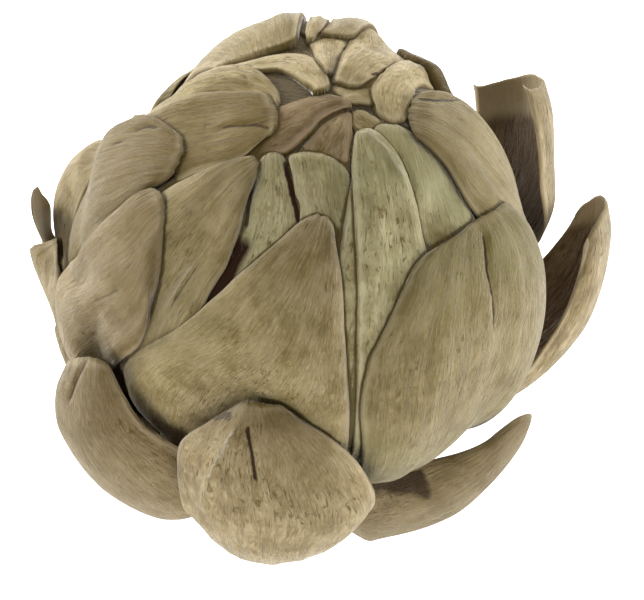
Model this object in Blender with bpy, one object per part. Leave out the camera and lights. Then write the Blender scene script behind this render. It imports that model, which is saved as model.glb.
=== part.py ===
# A drying globe artichoke that stands on its cut stem. Metres, +Z up, front of the head at -Y.
# The head is laid up like the real one. Every bract is an outline on a map of the head's skin,
# and it lies on whatever was laid before it, so the layers lap over each other without crossing.

import math
import random

import bmesh
import bpy
import numpy as np

# Driving sizes, in millimetres
MM = 0.001
HEAD_CENTRE_HEIGHT = 39.5
SKIN_SCALE = 36.0  # millimetres on the map for one radian away from the apex
CORE_POLAR_DEGREES = [0, 25, 50, 75, 100, 125, 145, 160, 180]
CORE_RADIUS = [34.2, 33.4, 31.6, 30.2, 30.0, 29.2, 29.6, 32.0, 33.5]
# Where the head is fuller or flatter than its profile: place on the map, spread and height
HEAD_SWELLS = [(44, 18, 13, -2.6), (18, 28, 9, -2.6), (-15, 31, 10, 2.6), (47, -14, 11, 0.9)]
HEART_SEGMENTS = (36, 22)
STEM_RADIUS = 11.5
STEM_HEIGHT = 5.6
STEM_TAPER = 0.9
STEM_SEGMENTS = 32
STEM_RIBS = [(5, 0.035, 0.6), (9, 0.02, 0.0)]  # ribs round the stem, share of its radius, phase
ROOT_HALF_TURN = 24.0  # degrees
ROOT_DISTANCE = 99.0  # map distance from the apex at which the outer bracts are rooted
SMALL_ROOT_DISTANCE = 86.0

# How the layers meet
FUSED_SINK = 0.25
LAYER_GAP = 0.5
EDGE_THICKNESS = 0.75
TIP_THINNING = 0.75
TIP_START = 0.55  # share of a bract's length at which its end begins to draw out to the tip
TIP_CURVE = 1.6
SHOULDER = 0.35  # share of the length over which a bract rises to its full lift
CURVE_STEPS = 12
LOW_START = 48.0  # map distance from which rows bend round the stem, fully so after LOW_SPAN more
LOW_SPAN = 30.0
MAP_HALF = 104
OUTER_REACH = (4, 2)  # map cells over which a bract bridges, then softens, a step beneath it
BUD_REACH = (2, 1)
SMALL_REACH = (6, 3)

# Facets across and along one bract
BUD_FACETS = (5, 6)
OUTER_FACETS = (6, 9)
SMALL_FACETS = (4, 8)
LAYING_FACETS = (70, 110)  # fine enough to leave no cell of the map out
SHARP_DEGREES = 40

# The bracts of the closed bud, innermost first: outline edges from root to tip on the skin map,
# in millimetres, +x to the right, +y to the back, with the apex at 0, 0.
BUD_BRACTS = [
    dict(name="crown_grey", left=[(12, -14), (3, -5), (1.5, -2.5)],
         right=[(14, -6), (8, -2), (3.5, -0.6)], tip=(1.8, -0.6), thick=1.0),
    dict(name="crown_right", left=[(-7, -14), (-4.5, -8), (-3, -4.5), (-0.8, -1.9)],
         right=[(4, -14), (2.7, -9), (2.2, -5), (1.4, -2.2)], tip=(0.5, -1.2), thick=1.0),
    dict(name="crown_back", left=[(2, 12), (-0.5, 6), (-1.9, 3.2)],
         right=[(10, 6), (5, 1.5), (1.5, 0.4)], tip=(-1.1, 1.4), thick=1.0),
    dict(name="crown_brown", left=[(-16, -4), (-9.5, -1.4), (-6, 0.2), (-3, 1.2), (-0.6, 0.7)],
         right=[(-11, -13), (-6.5, -9.5), (-3.8, -6), (-2.4, -3.4), (0.2, -1)], tip=(1.1, -0.2), thick=1.1),
    dict(name="curled_band", left=[(-26, 12), (-17.5, 10.4), (-12, 11.4), (-7, 11), (-4, 7.2), (-2.5, 3.4)],
         right=[(-24, 4), (-15, 6.4), (-10, 6.4), (-7, 3.8), (-4.4, 1)], tip=(-3, 1.5), thick=1.2,
         rise=(0, 0.9)),
    dict(name="top_back_small", left=[(-12, 26), (-6.8, 14), (-5.6, 10.2), (-3.8, 7.2)],
         right=[(3, 26), (-0.6, 18), (-1.8, 12), (-2.3, 7.4)], tip=(-2.8, 5.4), thick=1.2),
    dict(name="top_back", left=[(-3, 30), (-1, 18), (-1.9, 11), (-2.2, 4.8)],
         right=[(14, 26), (8.5, 15), (5.2, 10), (3.6, 7), (2, 4.4)], tip=(-0.6, 3.3), thick=1.3),
    dict(name="top_right_lobe", left=[(9, 20), (4.6, 8.4), (3.4, 3.6), (4.6, 0.6)],
         right=[(20, 16), (12, 9.4), (10, 5), (9.6, 1.2)], tip=(7.2, -1.3), thick=1.4),
    dict(name="top_left_roll", left=[(-44, 20), (-30, 11), (-19, 9), (-13.6, 6.4), (-11, 3.4)],
         right=[(-36, -6), (-26, -1), (-17, 0), (-10.6, -2.6)], tip=(-9.2, -0.6), thick=1.3),
    dict(name="back_dark", left=[(32, 60), (14, 38), (7.6, 24)], right=[(54, 40), (34, 27), (19, 17.5)],
         tip=(10, 19), thick=1.1, rise=(-2, -0.3)),
    dict(name="back_left", left=[(-56, 44), (-34, 26), (-24.5, 16), (-21.4, 10.8)],
         right=[(-14, 66), (-9.6, 40), (-9, 24), (-8.9, 14.6)], tip=(-14, 11.6), thick=1.7,
         rise=(0, 1.1)),
    dict(name="back_sliver", left=[(-10, 62), (-8, 30), (-7.9, 18), (-7.5, 15.4)],
         right=[(-2, 62), (-4.8, 30), (-5.1, 20), (-5.9, 16.2)], tip=(-6.8, 14.4), thick=1.6),
    dict(name="back_middle", left=[(-2, 64), (-4.2, 32), (-4.6, 20), (-5.2, 16.4)],
         right=[(8, 62), (4, 38), (2.4, 28), (-0.4, 18.4)], tip=(-3, 16.6), thick=1.3),
    dict(name="front_green", left=[(-20, -34), (-14, -23), (-11, -15), (-10.2, -11.6)],
         right=[(2, -36), (-1.4, -22), (-4, -15.4), (-6.6, -11)], tip=(-8.6, -10), thick=1.2),
    dict(name="front_pale", left=[(-4, -46), (-2.8, -21), (-4.4, -15.4), (-6, -10.9)],
         right=[(22, -58), (14, -41), (7, -22), (3, -11.6)], tip=(-2, -9.1), thick=1.3),
    dict(name="right_wide", left=[(10, -56), (5, -30), (3.4, -12), (5, -3.4)],
         right=[(58, -46), (38, -24), (26.5, -11), (20, -6), (13, -2.6)], tip=(8.6, -1.5), thick=1.3),
    dict(name="right_front",
         left=[(26, -66), (19, -53), (12, -38), (6.4, -22), (3.4, -12), (2.8, -6.4)],
         right=[(42, -54), (28, -36), (18, -19), (11, -9), (7.4, -5.8)], tip=(4, -3.9), thick=1.2),
    dict(name="left_wide", left=[(-66, 8), (-42, 5), (-28, 3.6), (-18, 2), (-12.4, 1)],
         right=[(-58, -34), (-38, -22), (-22, -13.6), (-14, -11.6), (-10.2, -7.6)], tip=(-9, -3.6),
         thick=1.4),
]

# The large outer bracts, innermost first, each a piece of its own. Edges run from near the root,
# which is placed by its direction round the stem, to the tip.
OUTER_BRACTS = [
    dict(name="bract_right_upper", root=0,
         left=[(64, 20), (47, 20), (33, 17.6), (24, 15.4), (16.6, 12), (11.4, 7)],
         right=[(58, -24), (40, -15), (26, -9.6), (17, -4.6), (11.6, -2.6)], tip=(9.4, 1.6), thick=1.8,
         rise=(0.9, 0)),
    dict(name="bract_left_inner", root=228,
         left=[(-58, -32), (-42, -24), (-28, -17), (-20, -13.4), (-14, -11.8)],
         right=[(-32, -64), (-23, -44), (-17, -34), (-12.8, -25), (-11.6, -17)], tip=(-10.4, -11.8),
         thick=1.5),
    dict(name="bract_front_centre", root=255,
         left=[(-42, -60), (-40, -50), (-33, -43), (-20, -36.4), (-9, -27), (-3.4, -21.6)],
         right=[(22, -76), (22, -64), (18.4, -54.6), (13.4, -45), (9, -35.6), (5.4, -27), (2.4, -21)],
         tip=(0, -18.4), thick=1.8),
    dict(name="bract_left_upper", root=172,
         left=[(-64, -14), (-56, -13), (-47, -16), (-37, -16.4), (-28, -14.4)],
         right=[(-62, 32), (-48, 17), (-39, 7.4), (-31.6, 2), (-26.6, -4)], tip=(-22.6, -10), thick=1.9),
    dict(name="bract_right_front", root=304,
         left=[(26, -74), (27.6, -62), (22, -54), (15.4, -44), (13.8, -37), (14.8, -29), (16.2, -20.4),
               (21, -15)],
         right=[(74, -34), (68, -18), (58, -6), (46, -2.4), (36, -2), (28.6, -3)], tip=(24.2, -8.6),
         thick=2.0),
    dict(name="bract_left_front", root=205,
         left=[(-66, -58), (-60, -48), (-49, -42), (-38, -41), (-30.4, -38.4), (-27.8, -32)],
         right=[(-72, -8), (-58, -11.6), (-47, -16.6), (-37, -17), (-28.6, -15.4)], tip=(-23.8, -20),
         thick=1.9,
         stand=[(0, 30, 30, 30), (0.3, 33, 35.4, 34), (0.6, 34, 35.6, 34), (0.85, 0, 34, 0), (1, 0, 0, 0)]),
    dict(name="bract_low_left", root=236,
         left=[(-68, -62), (-68, -50), (-61, -41), (-52, -37.6)],
         right=[(-8, -77), (-13, -68), (-22.6, -60), (-30, -53), (-34.4, -46.6), (-37, -41.6)],
         tip=(-43.4, -37), thick=2.2,
         stand=[(0, 0, 0, 0), (0.3, 38, 40.4, 32), (0.55, 39.2, 41.4, 33.4), (0.8, 40, 41.2, 36.6),
                (1, 38, 38.4, 36.5)]),
    dict(name="bract_low_right", root=302,
         left=[(39, -74), (51.4, -61), (59.4, -46), (62.6, -32)],
         right=[(58, -75), (68, -60), (73, -44), (72.6, -30)], tip=(63.6, -18), thick=1.6,
         stand=[(0, 0, 0, 0), (0.25, 32, 35, 36.4), (0.5, 32, 39.8, 42.6), (0.8, 32, 39.8, 41.8),
                (1, 36, 38.6, 38.6)]),
    dict(name="bract_low_front", root=268,
         left=[(-20, -78), (-21.6, -66), (-21.4, -57.4), (-15, -53), (-8.4, -50)],
         right=[(34, -78), (31, -66), (29.8, -59.4), (23.4, -54.8), (13, -51), (4, -49)],
         tip=(-4, -47.4), thick=2.4, half_turn=15,
         stand=[(0, 30, 30, 30), (0.25, 38.6, 41.2, 36), (0.5, 38.6, 41, 37.6), (0.75, 36, 38.4, 36),
                (1, 34, 35, 34)]),
    dict(name="bract_back_right", root=30,
         left=[(66, 25), (54, 19.6), (43, 11.8), (35.8, 12.8), (30, 16.6), (25, 20.4)],
         right=[(48, 56), (34, 48), (22.6, 38)], tip=(27, 27), thick=1.5, half_turn=17,
         stand=[(0, 30, 30, 30), (0.3, 0, 34, 34), (0.6, 33.4, 35, 34), (0.8, 34.6, 37.6, 35),
                (1, 39.4, 41.6, 35.4)]),
    dict(name="bract_far_right", root=6,
         left=[(72, -14), (60, -5), (52.6, 2.4), (48.6, 7.6)],
         right=[(70, 28), (58, 23), (50, 19.4)], tip=(44, 15.4), thick=1.5, half_turn=17,
         stand=[(0, 30, 30, 30), (0.35, 32.4, 35, 32.4), (0.7, 35.4, 41.6, 36.8), (1, 39.4, 43.8, 41)]),
]

# The small bracts that show behind the left side
SMALL_BRACTS = [
    dict(name="bract_left_behind", root=172, left=[(-66, 0), (-58, 3), (-52, 8)],
         right=[(-62, 30), (-54, 26), (-48, 20)], tip=(-49.6, 14.6), thick=1.0, open=-1.3,
         stand=[(0, 30, 30, 30), (0.5, 35.2, 35.8, 35), (0.8, 35.4, 35.8, 35), (1, 34, 34.6, 34)]),
    dict(name="bract_left_spike", root=176, left=[(-70, 0), (-64, 1), (-59, 2.4)],
         right=[(-68, 14), (-63, 12), (-58.8, 8.2)], tip=(-56.4, 4.6), thick=1.0,
         stand=[(0, 30, 30, 30), (0.7, 36, 38, 36), (1, 41, 41.5, 41)]),
    dict(name="bract_left_edge", root=190, left=[(-74, -30), (-69, -22), (-63, -12)],
         right=[(-76, 0), (-69, 1), (-62.4, -1)], tip=(-60, -5), thick=1.0, open=-1.3,
         stand=[(0, 30, 30, 30), (0.6, 35, 35.6, 35), (1, 36, 36.4, 36)]),
    dict(name="bract_left_low_tip", root=204, left=[(-74, -40), (-71, -34), (-66.6, -28)],
         right=[(-78, -18), (-72, -17), (-66.6, -18)], tip=(-64, -23), thick=0.9, open=-1.3,
         stand=[(0, 30, 30, 30), (0.6, 34.8, 35.4, 34.8), (1, 35, 35.4, 35)]),
]

# The rows of bracts round the back: distance of the tips from the apex on the map, directions
# round the stem in degrees, half width on the map and thickness
BACK_ROWS = [
    dict(tip=46.0, directions=(70, 104, 138), half_width=16.0, thick=1.7),
    dict(tip=55.0, directions=(56, 89, 123, 153), half_width=19.0, thick=1.9),
    dict(tip=68.0, directions=(44, 75, 107, 139), half_width=19.0, thick=2.1),
]
BACK_SEED = 7
BACK_TURN = 3.0  # degrees either way
BACK_SHIFT = 2.0
BACK_WIDTHS = (0.92, 1.08)
BACK_OPEN = (0.1, 0.8)
BACK_EDGE = [(14.0, 1.2), (10.0, 0.92), (4.0, 0.45)]  # behind the tip, share of the half width
BACK_EDGE_START = 80.0

COLOURS = {
    "bract_olive": (0.30, 0.27, 0.15, 1.0),
    "bract_tan": (0.36, 0.31, 0.19, 1.0),
    "bud_green": (0.29, 0.29, 0.16, 1.0),
    "stem_cut": (0.33, 0.26, 0.15, 1.0),
}
ROUGHNESS = 0.62


def clear_scene():
    for item in list(bpy.data.objects):
        bpy.data.objects.remove(item, do_unlink=True)


def new_collection(name):
    collection = bpy.data.collections.new(name)
    bpy.context.scene.collection.children.link(collection)
    return collection


def plant_material(name):
    material = bpy.data.materials.new(name)
    material.use_nodes = True
    shader = material.node_tree.nodes["Principled BSDF"]
    shader.inputs["Base Color"].default_value = COLOURS[name]
    shader.inputs["Roughness"].default_value = ROUGHNESS
    shader.inputs["Metallic"].default_value = 0.0
    material.diffuse_color = COLOURS[name]
    return material


def smooth_line(points, count):
    """Points spaced evenly along a soft curve through the given ones."""
    points = np.array(points, float)
    ends = np.vstack([2 * points[0] - points[1], points, 2 * points[-1] - points[-2]])
    dense = []
    for before, start, end, after in zip(ends, ends[1:], ends[2:], ends[3:]):
        t = np.linspace(0, 1, CURVE_STEPS, endpoint=False)[:, None]
        dense.append(0.5 * (2 * start + (end - before) * t
                            + (2 * before - 5 * start + 4 * end - after) * t ** 2
                            + (3 * start - before - 3 * end + after) * t ** 3))
    dense = np.vstack(dense + [points[-1:]])
    travelled = np.concatenate([[0], np.cumsum(np.hypot(*np.diff(dense, axis=0).T))])
    wanted = np.linspace(0, travelled[-1], count)
    return np.stack([np.interp(wanted, travelled, dense[:, axis]) for axis in range(2)], axis=-1)


def outline_grid(bract, across, along):
    """Map positions of a bract, as rows from root to tip, each from its left to its right edge."""
    left = smooth_line(bract["left"], along + 1)
    right = smooth_line(bract["right"], along + 1)
    u = np.linspace(0, 1, across + 1)[None, :, None]
    v = np.linspace(0, 1, along + 1)[:, None, None]
    straight = left[:, None] * (1 - u) + right[:, None] * u
    low = np.clip((np.hypot(*(left + right).T) / 2 - LOW_START) / LOW_SPAN, 0, 1)[:, None, None]
    flat = straight * (1 - low) + round_the_stem(left, right, u) * low
    reach = np.array(bract["tip"], float) - (left[-1] + right[-1]) / 2
    dome = np.sqrt(np.clip(1 - (2 * u - 1) ** 2, 0, 1))
    return flat + reach * dome * np.clip((v - TIP_START) / (1 - TIP_START), 0, 1) ** TIP_CURVE


def round_the_stem(left, right, u):
    """Rows from the left to the right edge that keep their distance from the apex on the map."""
    far = [np.hypot(*side.T)[:, None, None] for side in (left, right)]
    turn = [np.arctan2(side[:, 1], side[:, 0])[:, None, None] for side in (left, right)]
    swing = (turn[1] - turn[0] + math.pi) % (2 * math.pi) - math.pi
    distance = far[0] * (1 - u) + far[1] * u
    angle = turn[0] + swing * u
    return np.concatenate([distance * np.cos(angle), distance * np.sin(angle)], axis=-1)


def rooted(bract, distance):
    """The bract with its two edges led down to the stem."""
    led = dict(bract)
    root = math.radians(bract["root"])
    limit = math.radians(bract.get("half_turn", ROOT_HALF_TURN))
    for side in ("left", "right"):
        end_x, end_y = bract[side][0]
        off = (math.atan2(end_y, end_x) - root + math.pi) % (2 * math.pi) - math.pi
        turn = root + math.copysign(limit, off)
        led[side] = [(distance * math.cos(turn), distance * math.sin(turn))] + list(bract[side])
    return led


def spread(field, reach, combine):
    """The field with every cell replaced by its neighbours' combined value, along both axes."""
    for axis in (0, 1):
        padded = np.pad(field, [(reach, reach) if a == axis else (0, 0) for a in (0, 1)], mode="edge")
        length = field.shape[axis]
        slices = [np.take(padded, range(step, step + length), axis) for step in range(2 * reach + 1)]
        field = combine(np.stack(slices), axis=0)
    return field


class Skin:
    """The outer radius of what has been laid so far, for every millimetre of the map."""

    def __init__(self):
        axis = np.arange(-MAP_HALF, MAP_HALF + 1, dtype=float)
        x, y = np.meshgrid(axis, axis, indexing="ij")
        self.radius = core_radius(x, y)

    def cover(self, reach):
        bridge, soften = reach
        soft = spread(spread(self.radius, bridge, np.max), soften, np.mean)
        return np.maximum(soft, self.radius)

    def lay(self, places, radius):
        cells = np.clip(np.rint(places + MAP_HALF).astype(int), 0, 2 * MAP_HALF)
        np.maximum.at(self.radius, (cells[..., 0], cells[..., 1]), radius)


def core_radius(x, y):
    """Radius of the solid heart in the direction of a place on the map."""
    radius = np.interp(np.degrees(np.hypot(x, y) / SKIN_SCALE), CORE_POLAR_DEGREES, CORE_RADIUS)
    for swell_x, swell_y, wide, high in HEAD_SWELLS:
        radius = radius + high * np.exp(-((x - swell_x) ** 2 + (y - swell_y) ** 2) / (2 * wide ** 2))
    return radius


def sample(field, places):
    """The field read between its cells."""
    where = np.clip(places + MAP_HALF, 0, 2 * MAP_HALF - 1.001)
    low = np.floor(where).astype(int)
    part = where - low
    x, y = low[..., 0], low[..., 1]
    fx, fy = part[..., 0], part[..., 1]
    return ((field[x, y] * (1 - fx) + field[x + 1, y] * fx) * (1 - fy)
            + (field[x, y + 1] * (1 - fx) + field[x + 1, y + 1] * fx) * fy)


def lift_of(bract, u, v):
    """How far a bract stands off what lies beneath it."""
    left_rise, right_rise = bract.get("rise", (0.0, 0.0))
    shoulder = np.clip(v / SHOULDER, 0, 1) ** 1.5
    keel = bract.get("keel", 0.0) * (1 - (2 * u - 1) ** 2) * shoulder
    edges = (left_rise * (1 - u) ** 2 + right_rise * u ** 1.3) * shoulder
    return keel + edges + bract.get("open", 0.0) * v ** 4


def thickness_of(bract, u, v):
    fullness = (1 - (2 * u - 1) ** 4) * (1 - TIP_THINNING * v ** 3) * np.clip(0.35 + v / SHOULDER, 0, 1)
    return EDGE_THICKNESS + (bract["thick"] - EDGE_THICKNESS) * fullness


def place(places, radius):
    """Points in space from places on the map and distances from the middle of the head."""
    distance = np.hypot(places[..., 0], places[..., 1])
    polar = distance / SKIN_SCALE
    flat = np.where(distance > 1e-6, np.sin(polar) / np.maximum(distance, 1e-6), 1 / SKIN_SCALE)
    point = np.stack([places[..., 0] * flat, places[..., 1] * flat, np.cos(polar)], axis=-1)
    return (point * radius[..., None] + [0, 0, HEAD_CENTRE_HEIGHT]) * MM


def stand_radius(bract, u, v):
    """Where a loose bract stands, from rows of radii at its left edge, middle and right edge."""
    rows = np.array(bract.get("stand", [(0, 0, 0, 0), (1, 0, 0, 0)]), float)
    left, middle, right = (np.interp(v, rows[:, 0], rows[:, side]) for side in (1, 2, 3))
    return left * (1 - u) * (1 - 2 * u) + middle * 4 * u * (1 - u) + right * u * (2 * u - 1)


def bract_surfaces(bract, cover, gap, across, along):
    places = outline_grid(bract, across, along)
    u = np.linspace(0, 1, across + 1)[None, :]
    v = np.linspace(0, 1, along + 1)[:, None]
    resting = sample(cover, places) + gap + lift_of(bract, u, v)
    inner = np.maximum(resting, stand_radius(bract, u, v))
    return places, inner, inner + thickness_of(bract, u, v)


def solid_from_grids(name, inner, outer):
    """A closed leaf from its two faces, each split the same way, and a rim between them."""
    rows, columns = inner.shape[:2]
    mesh = bmesh.new()
    low = [[mesh.verts.new(point) for point in row] for row in inner]
    high = [[mesh.verts.new(point) for point in row] for row in outer]
    for i in range(rows - 1):
        for j in range(columns - 1):
            for grid, order in ((high, 1), (low, -1)):
                a, b, c, d = grid[i][j], grid[i][j + 1], grid[i + 1][j + 1], grid[i + 1][j]
                mesh.faces.new((a, b, c)[::order])
                mesh.faces.new((a, c, d)[::order])
    rim = [(0, j) for j in range(columns)] + [(i, columns - 1) for i in range(1, rows)]
    rim += [(rows - 1, j) for j in range(columns - 2, -1, -1)] + [(i, 0) for i in range(rows - 2, 0, -1)]
    for (i, j), (k, l) in zip(rim, rim[1:] + rim[:1]):
        mesh.faces.new((low[i][j], low[k][l], high[k][l]))
        mesh.faces.new((low[i][j], high[k][l], high[i][j]))
    bmesh.ops.recalc_face_normals(mesh, faces=mesh.faces)
    if mesh.calc_volume(signed=True) < 0:
        bmesh.ops.reverse_faces(mesh, faces=mesh.faces)
    data = bpy.data.meshes.new(name)
    mesh.to_mesh(data)
    mesh.free()
    return bpy.data.objects.new(name, data)


def lay_bract(skin, bract, gap, facets, reach):
    """Makes one bract on top of what has been laid, and adds it to the skin."""
    cover = skin.cover(reach)
    places, inner, outer = bract_surfaces(bract, cover, gap, *facets)
    if gap < 0:
        inner = np.minimum(inner, sample(skin.radius, places) + gap)
    leaf = solid_from_grids(bract["name"], place(places, inner), place(places, outer))
    fine_places, _, fine_outer = bract_surfaces(bract, cover, gap, *LAYING_FACETS)
    skin.lay(fine_places, fine_outer)
    return leaf


def make_core():
    """The solid heart of the head, which only shows between the bracts at the top and beneath."""
    mesh = bmesh.new()
    bmesh.ops.create_uvsphere(mesh, u_segments=HEART_SEGMENTS[0], v_segments=HEART_SEGMENTS[1], radius=1.0)
    for vert in mesh.verts:
        direction = vert.co.normalized()
        distance = math.acos(max(-1.0, min(1.0, direction.z))) * SKIN_SCALE
        around = math.atan2(direction.y, direction.x)
        radius = core_radius(distance * math.cos(around), distance * math.sin(around))
        vert.co = direction * float(radius) * MM
        vert.co.z += HEAD_CENTRE_HEIGHT * MM
    data = bpy.data.meshes.new("bud")
    mesh.to_mesh(data)
    mesh.free()
    return bpy.data.objects.new("bud", data)


def make_stem():
    """The cut stub that the head stands on."""
    mesh = bmesh.new()
    bmesh.ops.create_cone(mesh, cap_ends=True, segments=STEM_SEGMENTS,
                          radius1=STEM_RADIUS * STEM_TAPER * MM, radius2=STEM_RADIUS * MM,
                          depth=STEM_HEIGHT * MM)
    for vert in mesh.verts:
        around = math.atan2(vert.co.y, vert.co.x)
        ribs = 1 + sum(share * math.sin(count * around + phase) for count, share, phase in STEM_RIBS)
        vert.co.x *= ribs
        vert.co.y *= ribs
        vert.co.z += STEM_HEIGHT * MM / 2
    data = bpy.data.meshes.new("stem")
    mesh.to_mesh(data)
    mesh.free()
    return bpy.data.objects.new("stem", data)


def fuse(base, helpers):
    """Joins the helpers' objects to the base, and keeps the one outer body."""
    union = base.modifiers.new("fuse", "BOOLEAN")
    union.operation = "UNION"
    union.solver = "MANIFOLD"
    union.operand_type = "COLLECTION"
    union.collection = helpers
    bpy.context.view_layer.update()
    graph = bpy.context.evaluated_depsgraph_get()
    joined = bpy.data.meshes.new_from_object(base.evaluated_get(graph))
    base.modifiers.clear()
    base.data = joined
    for item in list(helpers.objects):
        bpy.data.objects.remove(item, do_unlink=True)
    keep_largest_body(joined)


def keep_largest_body(data):
    """Fills the hollows that fusing sealed, and drops loose scraps."""
    mesh = bmesh.new()
    mesh.from_mesh(data)
    unseen = set(mesh.verts)
    bodies = []
    while unseen:
        start = unseen.pop()
        body = {start}
        edge_of_search = [start]
        while edge_of_search:
            vert = edge_of_search.pop()
            for edge in vert.link_edges:
                other = edge.other_vert(vert)
                if other in unseen:
                    unseen.remove(other)
                    body.add(other)
                    edge_of_search.append(other)
        bodies.append(body)
    bodies.sort(key=len)
    scraps = [vert for body in bodies[:-1] for vert in body]
    bmesh.ops.delete(mesh, geom=scraps, context="VERTS")
    mesh.to_mesh(data)
    mesh.free()


def finish(item, collection, material):
    collection.objects.link(item)
    item.data.materials.clear()
    item.data.materials.append(material)
    item.data.shade_smooth()
    item.data.set_sharp_from_angle(angle=math.radians(SHARP_DEGREES))


def back_bracts():
    """The rows round the back, spaced by a rule with a small seeded variation."""
    chance = random.Random(BACK_SEED)
    made = []
    for row in BACK_ROWS:
        for direction in row["directions"]:
            turn = math.radians(direction + chance.uniform(-BACK_TURN, BACK_TURN))
            tip = row["tip"] + chance.uniform(-BACK_SHIFT, BACK_SHIFT)
            half = row["half_width"] * chance.uniform(*BACK_WIDTHS)
            out = np.array([math.cos(turn), math.sin(turn)])
            side = np.array([-out[1], out[0]])
            edge = [(tip + behind, share) for behind, share in BACK_EDGE]
            edge[0] = (max(edge[0][0], BACK_EDGE_START), edge[0][1])
            made.append(dict(
                name=f"bract_back_{len(made) + 1:02d}", root=direction, thick=row["thick"],
                left=[tuple(out * far + side * half * share) for far, share in edge],
                right=[tuple(out * far - side * half * share) for far, share in edge],
                tip=tuple(out * tip), open=chance.uniform(*BACK_OPEN)))
    return made


def main():
    clear_scene()
    parts = new_collection("artichoke")
    helpers = new_collection("bud_bracts")
    materials = {name: plant_material(name) for name in COLOURS}

    skin = Skin()
    bud = make_core()
    parts.objects.link(bud)
    for bract in BUD_BRACTS:
        helpers.objects.link(lay_bract(skin, bract, -FUSED_SINK, BUD_FACETS, BUD_REACH))
    fuse(bud, helpers)
    parts.objects.unlink(bud)
    finish(bud, parts, materials["bud_green"])
    bpy.data.collections.remove(helpers)

    first_front = OUTER_BRACTS[:6]
    loose_front = OUTER_BRACTS[6:]
    for bract in back_bracts() + first_front + SMALL_BRACTS + loose_front:
        if bract in SMALL_BRACTS:
            leaf = lay_bract(skin, rooted(bract, SMALL_ROOT_DISTANCE), LAYER_GAP, SMALL_FACETS, SMALL_REACH)
        else:
            leaf = lay_bract(skin, rooted(bract, ROOT_DISTANCE), LAYER_GAP, OUTER_FACETS, OUTER_REACH)
        tint = "bract_tan" if bract in loose_front else "bract_olive"
        finish(leaf, parts, materials[tint])

    finish(make_stem(), parts, materials["stem_cut"])


main()
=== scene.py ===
import math
import random

import bpy
import numpy as np
from mathutils import Matrix, Vector


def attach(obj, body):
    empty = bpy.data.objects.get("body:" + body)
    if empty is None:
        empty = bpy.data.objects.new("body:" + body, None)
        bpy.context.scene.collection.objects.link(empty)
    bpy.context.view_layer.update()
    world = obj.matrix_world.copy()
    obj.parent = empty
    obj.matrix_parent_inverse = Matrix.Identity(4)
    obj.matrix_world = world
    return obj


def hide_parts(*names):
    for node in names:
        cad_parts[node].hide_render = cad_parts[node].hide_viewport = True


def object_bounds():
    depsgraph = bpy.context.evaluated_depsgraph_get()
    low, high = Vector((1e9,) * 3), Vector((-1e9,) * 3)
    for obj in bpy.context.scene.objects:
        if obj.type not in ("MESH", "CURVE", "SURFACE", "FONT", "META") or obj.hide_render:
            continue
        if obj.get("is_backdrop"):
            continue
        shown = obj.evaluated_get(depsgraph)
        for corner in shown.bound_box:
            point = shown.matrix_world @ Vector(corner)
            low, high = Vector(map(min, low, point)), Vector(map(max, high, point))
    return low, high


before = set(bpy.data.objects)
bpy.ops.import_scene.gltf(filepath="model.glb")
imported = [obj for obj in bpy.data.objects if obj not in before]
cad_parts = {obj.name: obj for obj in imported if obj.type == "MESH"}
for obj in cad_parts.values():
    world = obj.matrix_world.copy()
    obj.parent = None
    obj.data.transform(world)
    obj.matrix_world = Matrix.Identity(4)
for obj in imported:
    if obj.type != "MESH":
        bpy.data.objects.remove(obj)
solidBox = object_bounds()
print("artichoke: solids loaded,", len(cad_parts))

mm = 0.001

# The head: its map has the tip of the bud at 0, 0, right at +x and back at +y, in millimetres
head = {
    "centreHeight": 39.5,
    "mapScale": 36.0,           # millimetres on the map for one radian away from the tip
    "polarDegrees": [0, 25, 50, 75, 100, 125, 145, 160, 180],
    "radius": [34.2, 33.4, 31.6, 30.2, 30.0, 29.2, 29.6, 32.0, 33.5],
    "swells": [(44, 18, 13, -2.6), (18, 28, 9, -2.6), (-15, 31, 10, 2.6), (47, -14, 11, 0.9)],
}

# How the layers meet, in millimetres
layUp = {
    "cell": 0.5,                # of the height field that the bracts are laid on
    "half": 104.0,
    "gap": 0.5,                 # between the stout bracts of the solids
    "sink": 0.25,               # how far the stout bracts of the closed bud press into each other
    "rootDistance": 99.0,
    "smallRootDistance": 86.0,
    "rootHalfTurn": 24.0,
    "edge": 0.75,               # thickness of a stout margin
    "rounding": 1.1,            # over which a stout margin rounds off
    "leastThick": 0.12,
    "close": 1.3,               # a bract nearer than this to what lies beneath it casts painted crevice shade on it
    "easePasses": 10,           # roundings of the face that lies on the others
    "easeDepth": 0.12,          # how far they may press it into what it lies on
    "reliefFrom": 2.0,          # ribs and swells are full this far from a margin
}

# The thin bracts that are shown: they lie closer than the solids, on a core that makes up for it
thinBract = {
    "share": 0.55,              # of the stout thickness
    "gap": 0.12,
    "budGap": 0.048,
    "edge": 0.36,
    "edgeWidth": 4.5,           # over which a margin gains its thickness
    "hug": 2.6,                 # over which a margin bends down to what lies beneath
    "hugReach": (0.6, 0.8),     # widening and softening of what it bends down to
    "rounding": 0.45,
    "crevice": 1.1,             # softening of the crevice shade
    "ragged": {"bud": 0.12, "outer": 0.28},
    "evenOut": 9.0,             # reach of the softening of the make-up
}

# Faces across and along a bract, and how far it bridges, then softens, a step beneath it
kinds = {
    "bud": {"facets": (52, 70), "reach": (2.0, 1.2)},
    "outer": {"facets": (72, 100), "reach": (4.0, 2.0)},
    "small": {"facets": (32, 56), "reach": (6.0, 3.0)},
    "back": {"facets": (48, 64), "reach": (4.0, 2.0)},
}

# How an outline is drawn from its two margins
outline = {
    "roundFrom": 48.0,          # distance from the tip of the bud where rows start to follow the stem
    "roundOver": 30.0,
    "domeFrom": 0.55,           # share of the length where the tip starts to dome
    "domePower": 1.6,
}


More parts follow.
